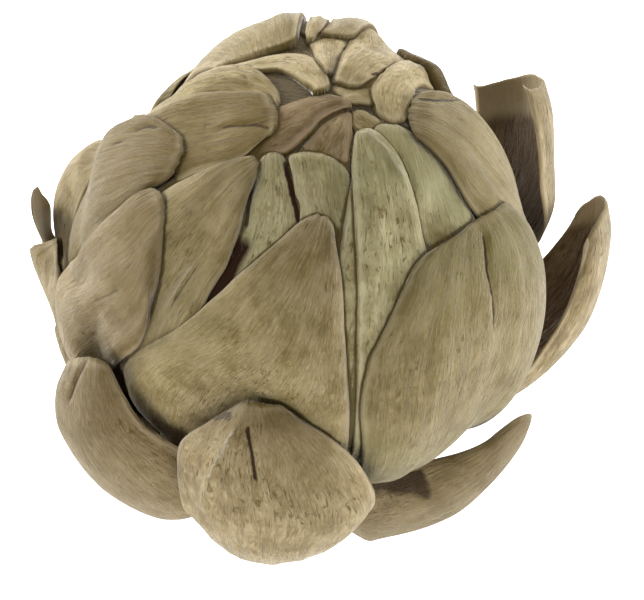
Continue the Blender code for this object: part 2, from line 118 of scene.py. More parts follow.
def coreRadius(x, y):
    radius = np.interp(np.degrees(np.hypot(x, y) / head["mapScale"]), head["polarDegrees"], head["radius"])
    for swellX, swellY, wide, high in head["swells"]:
        radius = radius + high * np.exp(-((x - swellX) ** 2 + (y - swellY) ** 2) / (2 * wide ** 2))
    return radius


def placeOnHead(places, radius):
    # from the map and a distance from the middle of the head to a point in metres
    distance = np.hypot(places[..., 0], places[..., 1])
    polar = distance / head["mapScale"]
    flat = np.where(distance > 1e-6, np.sin(polar) / np.maximum(distance, 1e-6), 1 / head["mapScale"])
    point = np.stack([places[..., 0] * flat, places[..., 1] * flat, np.cos(polar)], axis=-1)
    return (point * radius[..., None] + [0, 0, head["centreHeight"]]) * mm


def slideMany(field, reach, combine):
    # every cell becomes its neighbours' combined value, along both axes
    for axis in (0, 1):
        padded = np.pad(field, [(reach, reach) if a == axis else (0, 0) for a in (0, 1)], mode="edge")
        length = field.shape[axis]
        result = np.take(padded, range(length), axis)
        for step in range(1, 2 * reach + 1):
            result = combine(result, np.take(padded, range(step, step + length), axis))
        field = result
    return field


def widen(field, millimetres):
    reach = max(1, round(millimetres / layUp["cell"]))
    return slideMany(field, reach, np.maximum)


def soften(field, millimetres):
    reach = max(1, round(millimetres / layUp["cell"] / 2))
    for _ in range(2):          # two passes give a rounder fall than one
        field = slideMany(field, reach, np.add) / (2 * reach + 1) ** 2
    return field


def readField(field, places):
    where = np.clip((places + layUp["half"]) / layUp["cell"], 0, field.shape[0] - 1.001)
    low = np.floor(where).astype(int)
    part = where - low
    x, y = low[..., 0], low[..., 1]
    fx, fy = part[..., 0], part[..., 1]
    return ((field[x, y] * (1 - fx) + field[x + 1, y] * fx) * (1 - fy)
            + (field[x, y + 1] * (1 - fx) + field[x + 1, y + 1] * fx) * fy)


def finer(grid, times):
    # the same grid with more points between its own
    for axis in (0, 1):
        count = grid.shape[axis]
        where = np.linspace(0, count - 1, (count - 1) * times + 1)
        low = np.minimum(where.astype(int), count - 2)
        part = (where - low).reshape([-1 if a == axis else 1 for a in range(grid.ndim)])
        grid = np.take(grid, low, axis) * (1 - part) + np.take(grid, low + 1, axis) * part
    return grid


def grain(x, y, seed):
    # soft noise between -1 and 1 over a plane, the same in every run
    table = np.random.default_rng(seed).uniform(-1, 1, (128, 128))
    x, y = np.broadcast_arrays(x, y)
    lowX, lowY = np.floor(x).astype(int), np.floor(y).astype(int)
    fx, fy = x - lowX, y - lowY
    fx, fy = fx * fx * (3 - 2 * fx), fy * fy * (3 - 2 * fy)
    corner = lambda i, j: table[(lowX + i) % 128, (lowY + j) % 128]
    return ((corner(0, 0) * (1 - fx) + corner(1, 0) * fx) * (1 - fy)
            + (corner(0, 1) * (1 - fx) + corner(1, 1) * fx) * fy)


def smoothLine(points, count):
    points = np.array(points, float)
    ends = np.vstack([2 * points[0] - points[1], points, 2 * points[-1] - points[-2]])
    dense = []
    for before, start, end, after in zip(ends, ends[1:], ends[2:], ends[3:]):
        t = np.linspace(0, 1, 12, endpoint=False)[:, None]
        dense.append(0.5 * (2 * start + (end - before) * t
                            + (2 * before - 5 * start + 4 * end - after) * t ** 2
                            + (3 * start - before - 3 * end + after) * t ** 3))
    dense = np.vstack(dense + [points[-1:]])
    travelled = np.concatenate([[0], np.cumsum(np.hypot(*np.diff(dense, axis=0).T))])
    wanted = np.linspace(0, travelled[-1], count)
    return np.stack([np.interp(wanted, travelled, dense[:, axis]) for axis in range(2)], axis=-1)


def roundTheStem(left, right, u):
    far = [np.hypot(*side.T)[:, None, None] for side in (left, right)]
    turn = [np.arctan2(side[:, 1], side[:, 0])[:, None, None] for side in (left, right)]
    swing = (turn[1] - turn[0] + math.pi) % (2 * math.pi) - math.pi
    distance = far[0] * (1 - u) + far[1] * u
    angle = turn[0] + swing * u
    return np.concatenate([distance * np.cos(angle), distance * np.sin(angle)], axis=-1)


def outlineGrid(bract, across, along):
    # map places of a bract, as rows from root to tip, each from its left to its right margin
    left = smoothLine(bract["left"], along + 1)
    right = smoothLine(bract["right"], along + 1)
    u = np.linspace(0, 1, across + 1)[None, :, None]
    v = np.linspace(0, 1, along + 1)[:, None, None]
    straight = left[:, None] * (1 - u) + right[:, None] * u
    middle = np.hypot(*(left + right).T) / 2
    low = np.clip((middle - outline["roundFrom"]) / outline["roundOver"], 0, 1)[:, None, None]
    flat = straight * (1 - low) + roundTheStem(left, right, u) * low
    reach = np.array(bract["tip"], float) - (left[-1] + right[-1]) / 2
    dome = np.sqrt(np.clip(1 - (2 * u - 1) ** 2, 0, 1))
    nearTip = np.clip((v - outline["domeFrom"]) / (1 - outline["domeFrom"]), 0, 1)
    places = flat + reach * dome * nearTip ** outline["domePower"]
    return places + raggedMargin(bract, places, u, v)


def raggedMargin(bract, places, u, v):
    # small nicks and waves along the margins and the tip
    amount = bract["ragged"]
    seed = bract["seed"]
    side = places[:, -1:] - places[:, :1]
    side = side / np.maximum(np.linalg.norm(side, axis=-1, keepdims=True), 1e-6)
    forward = places[-1:, :] - places[-2:-1, :]
    forward = forward / np.maximum(np.linalg.norm(forward, axis=-1, keepdims=True), 1e-6)
    waveLeft = grain(v * 9, seed * 0.37, seed) + 0.6 * grain(v * 31, seed * 0.71, seed + 1)
    waveRight = grain(v * 9, seed * 0.53, seed + 2) + 0.6 * grain(v * 31, seed * 0.29, seed + 3)
    waveTip = grain(u * 7, seed * 0.41, seed + 4) + 0.7 * grain(u * 23, seed * 0.83, seed + 5)
    fade = np.clip(v * 3, 0, 1)
    shift = side * amount * fade * (waveRight * u ** 6 - waveLeft * (1 - u) ** 6)
    return shift + forward * amount * waveTip * v ** 12 * np.sin(math.pi * u) ** 0.5


def rooted(bract, distance):
    # leads the two margins down to the stem
    led = dict(bract)
    for side in ("left", "right"):
        end = bract[side][0]
        around = math.atan2(end[1], end[0])
        root = math.radians(bract["root"])
        off = (around - root + math.pi) % (2 * math.pi) - math.pi
        turn = root + math.copysign(math.radians(bract.get("halfTurn", layUp["rootHalfTurn"])), off)
        led[side] = [(distance * math.cos(turn), distance * math.sin(turn))] + list(bract[side])
    return led


def liftOf(bract, u, v):
    leftRise, rightRise = bract.get("rise", (0.0, 0.0))
    shoulder = np.clip(v / 0.35, 0, 1) ** 1.5
    return (leftRise * (1 - u) ** 2 + rightRise * u ** 1.3) * shoulder + bract.get("open", 0.0) * v ** 4


def standRadius(bract, u, v):
    rows = np.array(bract.get("stand", [(0, 0, 0, 0), (1, 0, 0, 0)]), float)
    left, middle, right = (np.interp(v, rows[:, 0], rows[:, side]) for side in (1, 2, 3))
    return left * (1 - u) * (1 - 2 * u) + middle * 4 * u * (1 - u) + right * u * (2 * u - 1)


def marginDistance(places):
    # millimetres from each grid point to the nearest margin, along its own row and column
    stepAcross = np.linalg.norm(np.diff(places, axis=1), axis=-1)
    fromLeft = np.concatenate([np.zeros((len(places), 1)), np.cumsum(stepAcross, axis=1)], axis=1)
    fromRight = fromLeft[:, -1:] - fromLeft
    stepAlong = np.linalg.norm(np.diff(places, axis=0), axis=-1)
    fromRoot = np.concatenate([np.zeros((1, places.shape[1])), np.cumsum(stepAlong, axis=0)], axis=0)
    fromTip = fromRoot[-1:] - fromRoot
    return np.minimum(np.minimum(fromLeft, fromRight), fromTip)


def lineDistance(places, points):
    # millimetres on the map from each place to a line through the given points
    best = np.full(places.shape[:-1], 1e9)
    for start, end in zip(points, points[1:]):
        start, end = np.array(start, float), np.array(end, float)
        way = end - start
        share = np.clip(((places - start) @ way) / (way @ way), 0, 1)
        best = np.minimum(best, np.linalg.norm(places - start - share[..., None] * way, axis=-1))
    return best


def lineNotes(places, lines):
    # for each place: signed distance to the nearest drawn line, its strength there and its half width
    best = np.full(places.shape[:-1], 1e9)
    notes = np.zeros(places.shape[:-1] + (3,))
    for points, wide, strength in lines:
        spans = list(zip(points, points[1:]))
        for number, (start, end) in enumerate(spans):
            start, end = np.array(start, float), np.array(end, float)
            long = np.linalg.norm(end - start)
            way = (end - start) / long
            along = (places - start) @ way
            side = (places - start) @ np.array([-way[1], way[0]])
            away = np.hypot(side, along - np.clip(along, 0, long))
            past = np.maximum(-along if number == 0 else 0, along - long if number == len(spans) - 1 else 0)
            share = strength * (1 - ease(past / max(0.8, wide))) * (1 - ease((away - wide - 0.8) / 1.2))
            closer = away < best
            best = np.where(closer, away, best)
            line = np.stack([np.where(side < 0, -away, away), share, np.full_like(share, wide)], axis=-1)
            notes = np.where(closer[..., None], line, notes)
    return notes


def easeGrid(grid, floorGrid, passes):
    # rounds a surface off, never far below what it lies on
    for _ in range(passes):
        padded = np.pad(grid, 1, mode="edge")
        mean = (padded[:-2, 1:-1] + padded[2:, 1:-1] + padded[1:-1, :-2] + padded[1:-1, 2:]) / 4
        grid = np.maximum(0.5 * grid + 0.5 * mean, floorGrid)
    return grid


def ease(value):
    value = np.clip(value, 0, 1)
    return value * value * (3 - 2 * value)


def reliefOf(bract, places, u, v, edge):
    # ribs, swells, cracks and ridges of the outer face
    seed, count = bract["seed"], bract.get("ribs", 11)
    sway = 0.25 * grain(v * 3.1, u * 2, seed + 7)
    ribs = grain(u * count + sway, v * 1.4, seed + 8) + 0.55 * grain(u * count * 2.3 + sway, v * 2.6, seed + 9)
    swell = grain(u * 2.4, v * 2.6, seed + 10)
    relief = bract.get("ribHeight", 0.05) * ribs + bract.get("swell", 0.14) * swell
    relief = relief * np.clip(edge / layUp["reliefFrom"], 0, 1)
    for points, wide, deep, _ in bract.get("cracks", []):
        relief = relief - deep * np.exp(-(lineDistance(places, points) / (wide + 0.35)) ** 2)
    for points, wide, high, _ in bract.get("ridges", []):
        relief = relief + high * np.exp(-(lineDistance(places, points) / (wide + 0.2)) ** 2)
    return relief


def stainsOf(bract, places):
    # brown blots with an uneven rim; a few wide ones are painted shade and shadow
    dark = np.zeros(places.shape[:2])
    blot = 1 + 0.5 * grain(places[..., 0] * 1.3, places[..., 1] * 1.3, bract["seed"] + 11)
    for x, y, wide, stain in bract.get("stains", []):
        away = np.hypot(places[..., 0] - x, places[..., 1] - y)
        dark = np.maximum(dark, stain * np.exp(-(away / (wide * blot)) ** 2))
    return dark


def quietOf(bract, places):
    # where a margin lies so close that it hardly shows
    quiet = np.zeros(places.shape[:2])
    for x, y, wide in bract.get("quiet", []):
        quiet = np.maximum(quiet, np.exp(-(np.hypot(places[..., 0] - x, places[..., 1] - y) / wide) ** 2))
    return quiet


def formOf(bract, skin, thin):
    # the two faces of one bract as distances from the middle of the head, with its surface notes
    inBud = bract["kind"] == "bud"
    across, along = kinds[bract["kind"]]["facets"]
    bridge, blur = kinds[bract["kind"]]["reach"]
    places = outlineGrid(bract, across, along)
    u = np.linspace(0, 1, across + 1)[None, :]
    v = np.linspace(0, 1, along + 1)[:, None]
    edge = marginDistance(places)
    cover = readField(np.maximum(soften(widen(skin, bridge), blur), skin), places)
    fullness = (1 - (2 * u - 1) ** 4) * (1 - 0.75 * v ** 3) * np.clip(0.35 + v / 0.3, 0, 1)
    stout = layUp["edge"] + (bract["thick"] - layUp["edge"]) * fullness
    stand = standRadius(bract, u, v)
    if thin:
        gap = thinBract["budGap" if inBud else "gap"]
        hugWiden, hugSoften = thinBract["hugReach"]
        close = readField(np.maximum(soften(widen(skin, hugWiden), hugSoften), skin), places)
        cover = close + (cover - close) * ease(edge / thinBract["hug"])
        inward = ease(edge / thinBract["edgeWidth"])
        full = bract["thick"] * thinBract["share"]
        thick = thinBract["edge"] + (full - thinBract["edge"]) * inward * fullness
        stand = stand + (stout - thick) * inward
    else:
        gap = -layUp["sink"] if inBud else layUp["gap"]
        thick = stout
    resting = cover + gap + liftOf(bract, u, v)
    inner = easeGrid(np.maximum(resting, stand), resting - layUp["easeDepth"], layUp["easePasses"])
    rounding = (thinBract if thin else layUp)["rounding"]
    roundOff = np.sqrt(np.clip(1 - (1 - np.clip(edge / rounding, 0, 1)) ** 2, 0, 1))
    least = layUp["leastThick"]
    thick = least + (thick - least) * roundOff
    outer = inner + np.maximum(thick + reliefOf(bract, places, u, v, edge), least)
    under = readField(skin, places)
    if inBud:
        inner = np.minimum(inner, under - layUp["sink"])
    drawn = [(points, wide, stain) for points, wide, _, stain in bract.get("cracks", [])]
    # ridges are drawn pale, as painted highlights on folds
    drawn += [(points, wide, -bright) for points, wide, _, bright in bract.get("ridges", [])]
    return {
        "places": places, "inner": inner, "outer": outer, "edge": edge,
        "near": inner - under < layUp["close"], "lines": lineNotes(places, drawn),
        "dark": stainsOf(bract, places), "quiet": quietOf(bract, places),
        "lean": bract.get("lean", 0.0), "shade": bract.get("shade", 0.0),
        "insideShare": bract.get("insideShare", 1.0), "lightFrom": bract.get("lightFrom", 1.0),
    }


def layOn(skin, form):
    places = finer(form["places"], 3)
    radius = finer(form["outer"], 3)
    cells = np.clip(np.rint((places + layUp["half"]) / layUp["cell"]).astype(int), 0, skin.shape[0] - 1)
    np.maximum.at(skin, (cells[..., 0], cells[..., 1]), radius)


def markCovered(covered, form):
    # notes where this bract lies close on what was laid before it, for the painted crevice shade
    places = finer(form["places"], 3)
    close = finer(form["near"].astype(float), 3) > 0.5
    cells = np.clip(np.rint((places + layUp["half"]) / layUp["cell"]).astype(int), 0, covered.shape[0] - 1)
    covered[cells[..., 0][close], cells[..., 1][close]] = 1.0


def layFibres(mesh, fibre):
    # stores millimetres across and along the fibres for every corner
    layer = mesh.uv_layers.new(name="fibre")
    vertexOfCorner = np.empty(len(mesh.loops), np.int32)
    mesh.loops.foreach_get("vertex_index", vertexOfCorner)
    layer.data.foreach_set("uv", fibre[vertexOfCorner].astype(np.float32).ravel())


def leafMesh(name, form, covered):
    # a closed leaf with its fibre directions and the notes that its finish reads
    places, inner, outer = form["places"], form["inner"], form["outer"]
    rows, columns = inner.shape
    count = rows * columns
    points = np.concatenate([placeOnHead(places, radius).reshape(-1, 3) for radius in (inner, outer)])
    index = np.arange(count).reshape(rows, columns)
    quads = np.stack([index[:-1, :-1], index[:-1, 1:], index[1:, 1:], index[1:, :-1]], axis=-1).reshape(-1, 4)
    rim = np.concatenate([index[0, :-1], index[:-1, -1], index[-1, :0:-1], index[:0:-1, 0]])
    after = np.roll(rim, -1)
    walls = np.stack([rim, after, after + count, rim + count], axis=-1)
    faces = np.concatenate([quads[:, ::-1], quads + count, walls])
    corners = points[faces]
    volume = np.einsum("ij,ij->", corners[:, 0], np.cross(corners[:, 1], corners[:, 2]))
    volume += np.einsum("ij,ij->", corners[:, 0], np.cross(corners[:, 2], corners[:, 3]))
    if volume < 0:
        faces = faces[:, ::-1]
    mesh = bpy.data.meshes.new(name)
    mesh.from_pydata(points, [], faces.tolist())
    mesh.update()

    # fibres run along each column and close up towards the tip
    long = np.linalg.norm(np.diff(places, axis=0), axis=-1).sum(axis=0).mean()
    wide = np.linalg.norm(np.diff(places, axis=1), axis=-1).sum(axis=1).max()
    alongMm = np.broadcast_to(np.linspace(0, 1, rows)[:, None] * long, (rows, columns))
    acrossMm = np.linspace(0, 1, columns)[None, :] * wide + form["lean"] * alongMm
    fibre = np.stack([acrossMm.ravel(), alongMm.ravel()], axis=-1)
    layFibres(mesh, np.concatenate([fibre, fibre]))

    tip = np.broadcast_to(np.linspace(0, 1, rows)[:, None] ** 8, (rows, columns))
    towardsTip = np.broadcast_to(np.linspace(0, 1, rows)[:, None], (rows, columns))
    # painted light: inner faces are painted lighter from this share of the length to the tip, where they catch
    # the light
    paintedLight = ease((towardsTip - form["lightFrom"]) / 0.06).ravel()
    insideShare = form["insideShare"] * (1 - 0.9 * paintedLight)
    margin = np.minimum(form["edge"], 12.0) + 2 * form["quiet"]
    # painted crevice shade where closer bracts lie over this one, then the margin distance and the tip share
    wear = np.stack([readField(covered, places) * (1 - form["quiet"]), margin, tip], axis=-1).reshape(-1, 3)
    innerWear = np.stack([np.zeros_like(tip), margin, tip], axis=-1).reshape(-1, 3)
    none = np.zeros(count)
    # notes: inside share, stains on the outer face and painted light, stored negative, on the inner face, then
    # the painted shade of the whole bract
    notes = np.stack([none, form["dark"].ravel(), none + form["shade"]], axis=-1)
    insideNotes = np.stack([insideShare, -paintedLight, none + form["shade"]], axis=-1)
    lines = form["lines"].reshape(-1, 3)
    stored = {"wear": (innerWear, wear), "notes": (insideNotes, notes), "lines": (lines * 0, lines)}
    for title, halves in stored.items():
        attribute = mesh.attributes.new(title, "FLOAT_VECTOR", "POINT")
        attribute.data.foreach_set("vector", np.concatenate(halves).astype(np.float32).ravel())
    mesh.shade_smooth()
    piece = bpy.data.objects.new(name, mesh)
    bpy.context.scene.collection.objects.link(piece)
    return piece


# The closed bud, innermost bract first
budBracts = [
    dict(name="crownGrey", shade=0.30, left=[(12, -14), (3, -5), (1.5, -2.5)],
        right=[(14, -6), (8, -2), (3.5, -0.6)], tip=(1.8, -0.6), thick=1.0, ribs=4, swell=0.3),
    dict(name="crownRight", look="crown", left=[(-7, -14), (-4.5, -8), (-3, -4.5), (-0.8, -1.9)],
        right=[(4, -14), (2.7, -9), (2.2, -5), (1.4, -2.2)], tip=(0.5, -1.2), thick=1.0, ribs=5,
        stains=[(-1.5, -8.5, 0.7, 0.5), (0, -9.2, 0.5, 0.5), (-2.6, -7.4, 0.5, 0.4)]),
    dict(name="crownBack", shade=0.30, left=[(2, 12), (-0.5, 6), (-1.9, 3.2)],
        right=[(10, 6), (5, 1.5), (1.5, 0.4)], tip=(-1.1, 1.4), thick=1.0, ribs=4, swell=0.3),
    dict(name="crownBrown", shade=0.50, look="crown",
        left=[(-16, -4), (-9.5, -1.4), (-6, 0.2), (-3, 1.2), (-0.6, 0.7)],
        right=[(-11, -13), (-6.5, -9.5), (-3.8, -6), (-2.4, -3.4), (0.2, -1)], tip=(1.1, -0.2), thick=1.1,
        ribs=6),
    dict(name="curledBand",
        left=[(-26, 12), (-17.5, 10.4), (-12, 11.4), (-7, 11), (-4, 7.2), (-2.5, 3.4)],
        right=[(-24, 4), (-15, 6.4), (-10, 6.4), (-7, 3.8), (-4.4, 1)], tip=(-3, 1.5), thick=1.2,
        rise=(0, 0.5), ribs=5),
    dict(name="topBackSmall", left=[(-12, 26), (-6.8, 14), (-5.6, 10.2), (-3.8, 7.2)],
        right=[(3, 26), (-0.6, 18), (-1.8, 12), (-2.3, 7.4)], tip=(-2.8, 5.4), thick=1.2, ribs=5),
    dict(name="topBack", left=[(-3, 30), (-1, 18), (-1.9, 11), (-2.2, 4.8)],
        right=[(14, 26), (8.5, 15), (5.2, 10), (3.6, 7), (2, 4.4)], tip=(-0.6, 3.3), thick=1.3, ribs=6,
        cracks=[([(-2.3, 3), (-2, 12), (-1, 18)], 0.35, 0.5, 0.8), ([(3.4, 7.2), (4.0, 7.8)], 0.5, 0.5, 0.9)]),
    dict(name="topRightLobe", left=[(9, 20), (4.6, 8.4), (3.4, 3.6), (4.6, 0.6)],
        right=[(15, 18), (10.6, 10.4), (9.6, 5), (9.4, 1.2)], tip=(7.2, -1.3), thick=1.4, ribs=6),
    dict(name="topLeftRoll", shade=0.08, look="olive",
        left=[(-44, 20), (-30, 11), (-19, 9), (-13.6, 6.4), (-11, 3.4)],
        right=[(-36, -6), (-26, -1), (-17, 0), (-10.6, -2.6)], tip=(-9.2, -0.6), thick=1.3, ribs=9),
    # painted shade: this back bract lies in shadow and takes the dark inner look
    dict(name="backDark", look="inner", left=[(32, 60), (14, 38), (7.6, 24)],
        right=[(54, 40), (34, 27), (19, 17.5)], tip=(10, 19), thick=1.1, rise=(0.2, 0.8)),
    dict(name="backLeft", shade=0.42, left=[(-56, 44), (-34, 26), (-24.5, 16), (-21.4, 10.8)],
        right=[(-14, 66), (-9.6, 40), (-9, 24), (-8.9, 14.6)], tip=(-14, 11.6), thick=1.7, rise=(0, 1.1),
        ribHeight=0.12),
    dict(name="backSliver", left=[(-10, 62), (-8, 30), (-7.9, 18), (-7.5, 15.4)],
        right=[(-2, 62), (-4.8, 30), (-5.1, 20), (-5.9, 16.2)], tip=(-6.8, 14.4), thick=1.6, ribs=3),
    dict(name="backMiddle", left=[(-2, 64), (-4.2, 32), (-4.6, 20), (-5.2, 16.4)],
        right=[(30, 54), (13, 38), (3, 28), (-0.4, 18.4)], tip=(-3, 16.6), thick=1.3, ribs=5),
    dict(name="frontGreen", look="green", left=[(-20, -34), (-14, -23), (-11, -15), (-10.2, -11.6)],
        right=[(2, -36), (-1.4, -22), (-4, -15.4), (-6.6, -11)], tip=(-8.6, -10), thick=1.2,
        # the first, wide crack is a groove with a painted shadow in the wedge between two bracts
        cracks=[([(-11.6, -24), (-13.4, -28.6), (-16.2, -33.4)], 2.2, 0.7, 1.0),
                ([(-6.4, -11.4), (-5, -15), (-3, -19.6)], 0.5, 0.5, 1.0),
                ([(-10.4, -12.4), (-11, -16), (-11.2, -21)], 0.4, 0.4, 0.9)]),
    dict(name="frontPale", shade=0.14, look="green", left=[(-4, -46), (-2.8, -21), (-4.4, -15.4), (-6, -10.9)],
        right=[(22, -58), (14, -41), (7, -22), (3, -11.6)], tip=(-2, -9.1), thick=1.3),
    dict(name="rightWide", shade=0.18, look="green", left=[(10, -56), (5, -30), (3.4, -12), (5, -3.4)],
        right=[(58, -46), (38, -24), (26.5, -11), (20, -6), (13, -2.6)], tip=(8.6, -1.5), thick=1.3,
        # the last, wide stain is a painted shadow beside a neighbour's tip
        stains=[(13, -15, 0.6, 0.6), (13, -21, 0.5, 0.6), (12, -17.6, 0.4, 0.5), (19.4, -14.6, 2.6, 0.85)],
        cracks=[([(8.8, -6.4), (11, -8.6), (13, -12)], 0.42, 0.4, 0.95)]),
    dict(name="rightFront", shade=0.10, look="green",
        left=[(26, -66), (19, -53), (12, -38), (6.4, -22), (3.4, -12), (2.8, -6.4)],
        right=[(42, -54), (28, -36), (18, -19), (11, -9), (7.4, -5.8)], tip=(4, -3.9), thick=1.2,
        ridges=[([(2.8, -5), (4, -4.8), (7, -6.7), (10.2, -9.4)], 0.28, 0.4, 0.4)]),
    dict(name="leftWide", shade=0.74, look="olive", left=[(-66, 8), (-42, 5), (-28, 3.6), (-18, 2), (-12.4, 1)],
        right=[(-58, -34), (-38, -22), (-22, -13.6), (-14, -11.6), (-10.2, -7.6)], tip=(-9, -3.6), thick=1.4,
        ribs=13,
        cracks=[([(-17, -5.5), (-13, -5.6), (-10, -6)], 0.3, 0.4, 0.7),
                ([(-28, -14), (-26, -13.2), (-24, -12.5)], 0.8, 0.3, 1.0)]),
]

# The large outer bracts, innermost first
outerBracts = [
    dict(node="bract_right_upper", shade=0.13, root=0,
        left=[(64, 20), (47, 20), (33, 17.6), (24, 15.4), (16.6, 12), (11.4, 7)],
        right=[(58, -24), (40, -15), (26, -9.6), (17, -4.6), (11.6, -2.6)], tip=(9.4, 1.6), thick=1.8,
        rise=(0.9, 0), ribs=10, ribHeight=0.17,
        cracks=[([(10.2, 4.2), (12.5, 5.2), (14.6, 7.4), (16.5, 9.7)], 0.26, 0.5, 0.9)]),
    dict(node="bract_left_inner", shade=0.1, root=228,
        left=[(-58, -32), (-42, -24), (-28, -17), (-20, -13.4), (-14, -11.8)],
        right=[(-32, -64), (-23, -44), (-17, -34), (-12.8, -25), (-11.6, -17)], tip=(-10.4, -11.8), thick=1.5,
        ridges=[([(-24, -33), (-21.5, -30), (-19, -27)], 0.2, 0.3, 0.15)],
        cracks=[([(-23.6, -33.6), (-21, -30.5), (-18.6, -27.6)], 0.2, 0.2, 0.5)],
        quiet=[(-30, -42, 8), (-22, -38, 5)]),
    dict(node="bract_front_centre", root=255,
        left=[(-46, -60), (-44, -50), (-37, -42), (-21, -36.6), (-9, -27), (-3.4, -21.6)],
        right=[(22, -76), (22, -64), (18.4, -54.6), (13.4, -45), (9, -35.6), (5.4, -27), (2.4, -21)],
        tip=(0, -18.4), thick=1.8, ribs=13, lean=-0.4, quiet=[(-28, -41, 9), (-36, -48, 6)],
        stains=[(-7, -32, 0.8, 0.55), (-11, -38, 0.8, 0.5), (-20, -41, 0.6, 0.5), (-12.4, -36.8, 0.5, 0.5),
                (-16, -44, 0.5, 0.5), (-1, -36, 0.4, 0.5)]),
    dict(node="bract_left_upper", shade=0.78, root=172,
        left=[(-64, -14), (-56, -13), (-47, -16), (-37, -16.4), (-28, -14.4)],
        right=[(-62, 32), (-48, 17), (-39, 7.4), (-31.6, 2), (-26.6, -4)], tip=(-22.6, -10), thick=1.9,
        ribs=12,
        cracks=[([(-32, -1.5), (-30, -1.8), (-28, -3)], 0.3, 0.4, 0.8),
                ([(-37, -1.6), (-35, -2.4)], 0.22, 0.3, 0.7)],
        stains=[(-26, -12.6, 1.2, 0.6), (-28.4, -13.6, 1.0, 0.5)]),
    dict(node="bract_right_front", shade=0.38, look="greenish", root=304,
        left=[(26, -74), (27.6, -62), (22, -54), (15.4, -44), (13.8, -37), (14.8, -29), (16.2, -20.4),
              (21, -15)], right=[(74, -34), (68, -18), (58, -6), (46, -2.4), (36, -2), (28.6, -3)],
        tip=(24.2, -8.6), thick=2.0, ribs=14, ribHeight=0.08,
        cracks=[([(25.4, -11.5), (28, -15.4), (31, -18), (35, -21.4)], 0.3, 0.5, 0.9)],
        stains=[(25, -44, 0.5, 0.55), (31, -47, 0.6, 0.55), (27.6, -45, 0.5, 0.5), (26, -12, 1.3, 0.45)]),
    dict(node="bract_left_front", shade=0.34, look="tan", root=205,
        left=[(-66, -58), (-60, -48), (-49, -42), (-38, -41), (-30.4, -38.4), (-27.8, -32)],
        right=[(-72, -8), (-58, -11.6), (-47, -16.6), (-37, -17), (-28.6, -15.4)], tip=(-23.8, -20), thick=1.9,
        stand=[(0, 30, 30, 30), (0.3, 33, 35.4, 34), (0.6, 34, 35.6, 34), (0.85, 0, 34, 0), (1, 0, 0, 0)],
        ribs=13, quiet=[(-46, -38, 8)], cracks=[([(-40, -29), (-36, -29.4), (-33, -29)], 0.16, 0.2, 0.5)],
        stains=[(-38, -20, 0.5, 0.6), (-33, -22, 0.5, 0.6), (-27, -21, 0.5, 0.5), (-30, -24.6, 0.5, 0.45)]),
]

# The loose bracts that stand away from the head
looseBracts = [
    dict(node="bract_low_left", shade=0.50, root=236,
        left=[(-68, -62), (-68, -50), (-61, -41), (-52, -37.6)],
        right=[(-8, -77), (-13, -68), (-22.6, -60), (-30, -53), (-34.4, -46.6), (-37, -41.6)],
        tip=(-43.4, -37), thick=2.2, ribs=12,
        stand=[(0, 0, 0, 0), (0.3, 38, 40.4, 32), (0.55, 39.2, 41.4, 33.4), (0.8, 40, 41.2, 36.6),
               (1, 38, 38.4, 36.5)], cracks=[([(-41, -38.6), (-44.4, -43)], 0.35, 0.6, 0.7)],
        # the first, wide stain is painted shade over the middle of the bract, with some brown tone
        stains=[(-41, -52, 4.5, 0.25), (-42, -52, 0.7, 0.7), (-40, -55, 0.6, 0.7), (-41, -58, 0.8, 0.6),
                (-45, -39, 1.3, 0.4)]),
    dict(node="bract_low_right", shade=0.22, root=302,
        left=[(39, -74), (51.4, -61), (59.4, -46), (62.6, -32)],
        right=[(58, -75), (68, -60), (73, -44), (72.6, -30)], tip=(63.6, -18), thick=1.6,
        stand=[(0, 0, 0, 0), (0.25, 32, 35, 36.4), (0.5, 32, 39.8, 42.6), (0.8, 32, 39.8, 41.8),
               (1, 36, 38.6, 38.6)], insideShare=0.3,
        # the first crack, with no depth, is a painted shadow cast by the bract above
        cracks=[([(36, -76), (50, -63), (58, -50)], 1.5, 0.0, 0.85), ([(71, -30), (67, -22)], 0.5, 0.4, 0.8)],
        stains=[(66, -20, 2.0, 0.7)]),
    dict(node="bract_low_front", shade=0.17, root=268,
        left=[(-20, -78), (-21.6, -66), (-21.4, -57.4), (-15, -53), (-8.4, -50)],
        right=[(34, -78), (31, -66), (29.8, -59.4), (23.4, -54.8), (13, -51), (4, -49)], tip=(-4, -47.4),
        thick=2.4, halfTurn=15, ribHeight=0.13,
        stand=[(0, 30, 30, 30), (0.25, 38.6, 41.2, 36), (0.5, 38.6, 41, 37.6), (0.75, 36, 38.4, 36),
               (1, 34, 35, 34)], ribs=12,
        ridges=[([(-6, -49.6), (-9, -53), (-11, -58), (-12.6, -64)], 1.3, 0.7, 0.0),
                ([(-7.6, -51), (-9.4, -54), (-11, -58)], 0.35, 0.2, 0.45)],
        cracks=[([(-5, -50.6), (-3.6, -53), (-1.5, -56.8)], 0.45, 0.5, 0.95),
                ([(-14, -51.6), (-9, -50)], 0.4, 0.4, 0.7)],
        stains=[(-9.6, -56, 0.6, 0.5), (-15, -53.4, 1.2, 0.5)]),
    dict(node="bract_back_right", lightFrom=0.84, root=30,
        left=[(66, 25), (54, 19.6), (43, 11.8), (35.8, 12.8), (30, 16.6), (25, 20.4)],
        right=[(48, 56), (34, 48), (22.6, 38)], tip=(27, 27), thick=1.5, halfTurn=17,
        stand=[(0, 30, 30, 30), (0.3, 0, 34, 34), (0.6, 33.4, 35, 34), (0.8, 35, 38, 35.4),
               (1, 40.6, 43, 37)]),
    dict(node="bract_far_right", lightFrom=0.90, root=6,
        left=[(72, -14), (60, -5), (52.6, 2.4), (48.6, 7.6)], right=[(70, 36), (58, 31), (50, 26)],
        tip=(44, 15.4), thick=1.5, halfTurn=17,
        stand=[(0, 30, 30, 30), (0.35, 32.4, 35, 32.4), (0.7, 35.4, 41.6, 36.8), (1, 39.4, 43.8, 41)],
        stains=[(46, 13, 1.6, 0.5)]),
]

